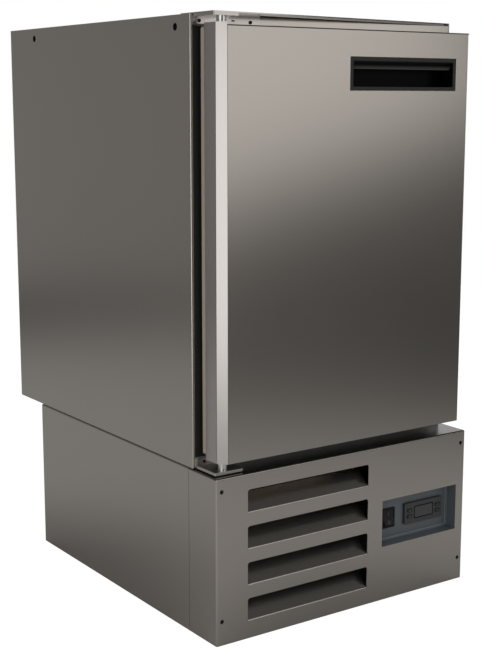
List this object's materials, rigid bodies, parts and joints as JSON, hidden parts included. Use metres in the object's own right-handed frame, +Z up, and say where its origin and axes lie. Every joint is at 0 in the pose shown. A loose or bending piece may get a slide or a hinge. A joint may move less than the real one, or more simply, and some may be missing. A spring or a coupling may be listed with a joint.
{
  "type": "freezer counter",
  "caption": "One-door stainless freezer counter module on a deeper machinery base with a louvred front, a recessed control panel and a recessed door handle.",
  "frame": {"origin": "on the floor, in the middle of the footprint", "axes": "+Z up, the door faces -Y, +X to the right of someone who faces the door"},
  "size_m": [0.46, 0.603, 0.85],
  "materials": {
    "cabinet_steel": "fine brushed stainless",
    "door_steel": "fine brushed stainless",
    "base_steel": "fine brushed stainless",
    "stile_metal": "satin extrusion",
    "bracket_steel": "satin plate",
    "zinc": "zinc plated",
    "liner_steel": "satin stainless",
    "wire": "plated",
    "foam": "rigid foam",
    "seal": "matt black",
    "breaker": "matt black",
    "door_liner": "brown grey",
    "gasket": "matt black",
    "handle": "matt black",
    "bush": "natural",
    "control_plate": "slate grey",
    "controller": "dark grey",
    "window": "tinted",
    "key": "dark grey",
    "switch": "black",
    "rocker": "black",
    "screw": "black oxide",
    "fin": "bare fins",
    "galvanised": "galvanised sheet",
    "fan": "black",
    "motor": "black",
    "compressor": "black enamel",
    "copper": "copper",
    "grommet": "black",
    "box": "light grey",
    "tray": "black"
  },
  "bodies": {
    "cabinet": {"left_side_panel": "cabinet_steel", "right_side_panel": "cabinet_steel", "top_panel": "cabinet_steel", "back_panel": "galvanised", "bottom_panel": "galvanised", "insulation": "foam", "inner_liner": "liner_steel", "breaker_frame": "breaker", "top_hinge_bracket": "bracket_steel", "bottom_hinge_bracket": "bracket_steel", "top_gusset": "bracket_steel", "hinge_pins": "zinc", "hinge_screws": "screw", "joining_inserts": "screw", "shelf_runners": "liner_steel", "lower_shelf": "wire", "upper_shelf": "wire", "evaporator_cover": "liner_steel", "evaporator_coil": "fin", "evaporator_fan_motor": "motor", "evaporator_fan_guard": "fan", "drip_tray": "liner_steel", "base_floor": "galvanised", "base_left_panel": "base_steel", "base_right_panel": "base_steel", "base_rear_panel": "galvanised", "front_panel": "base_steel", "front_panel_screws": "screw", "front_posts": "galvanised", "base_seal": "seal", "control_box": "control_plate", "controller": "controller", "display_window": "window", "switch_housing": "switch", "condenser_coil": "fin", "condenser_shroud": "galvanised", "condenser_fan_motor": "motor", "compressor_shell": "compressor", "compressor_baseplate": "compressor", "compressor_grommets": "grommet", "terminal_cover": "tray", "filter_drier": "copper", "copper_lines": "copper", "junction_box": "box", "cable_gland": "tray", "condensate_tray": "tray"},
    "door": {"door_skin": "door_steel", "hinge_stile": "stile_metal", "door_foam": "foam", "door_liner": "door_liner", "door_gasket": "gasket", "handle_cup": "handle", "pivot_bushes": "bush"},
    "switch_rocker": {"switch_rocker": "rocker"},
    "evaporator_fan": {"evaporator_fan": "fan"},
    "condenser_fan": {"condenser_fan": "fan"},
    "set_key": {"set_key": "key"},
    "defrost_key": {"defrost_key": "key"},
    "up_key": {"up_key": "key"},
    "down_key": {"down_key": "key"}
  },
  "joints": [
    {"name": "door_swing", "type": "hinge", "parent": "cabinet", "child": "door", "pos_m": [-0.206, -0.281, 0.545], "axis": [0, 0, -1], "range_deg": [0, 110]},
    {"name": "rocker_tilt", "type": "hinge", "parent": "cabinet", "child": "switch_rocker", "pos_m": [0.093, -0.2805, 0.118], "axis": [1, 0, 0], "range_deg": [0, 16]},
    {"name": "evaporator_fan_spin", "type": "hinge", "parent": "cabinet", "child": "evaporator_fan", "pos_m": [0, 0.1695, 0.6415], "axis": [0, 1, 0], "continuous": true},
    {"name": "condenser_fan_spin", "type": "hinge", "parent": "cabinet", "child": "condenser_fan", "pos_m": [-0.08, -0.1975, 0.1162], "axis": [0, 1, 0], "continuous": true},
    {"name": "set_key_press", "type": "slide", "parent": "cabinet", "child": "set_key", "axis": [0, 1, 0], "range_m": [0, 0.0006], "stiffness_N_per_m": 200},
    {"name": "defrost_key_press", "type": "slide", "parent": "cabinet", "child": "defrost_key", "axis": [0, 1, 0], "range_m": [0, 0.0006], "stiffness_N_per_m": 200},
    {"name": "up_key_press", "type": "slide", "parent": "cabinet", "child": "up_key", "axis": [0, 1, 0], "range_m": [0, 0.0006], "stiffness_N_per_m": 200},
    {"name": "down_key_press", "type": "slide", "parent": "cabinet", "child": "down_key", "axis": [0, 1, 0], "range_m": [0, 0.0006], "stiffness_N_per_m": 200}
  ]
}
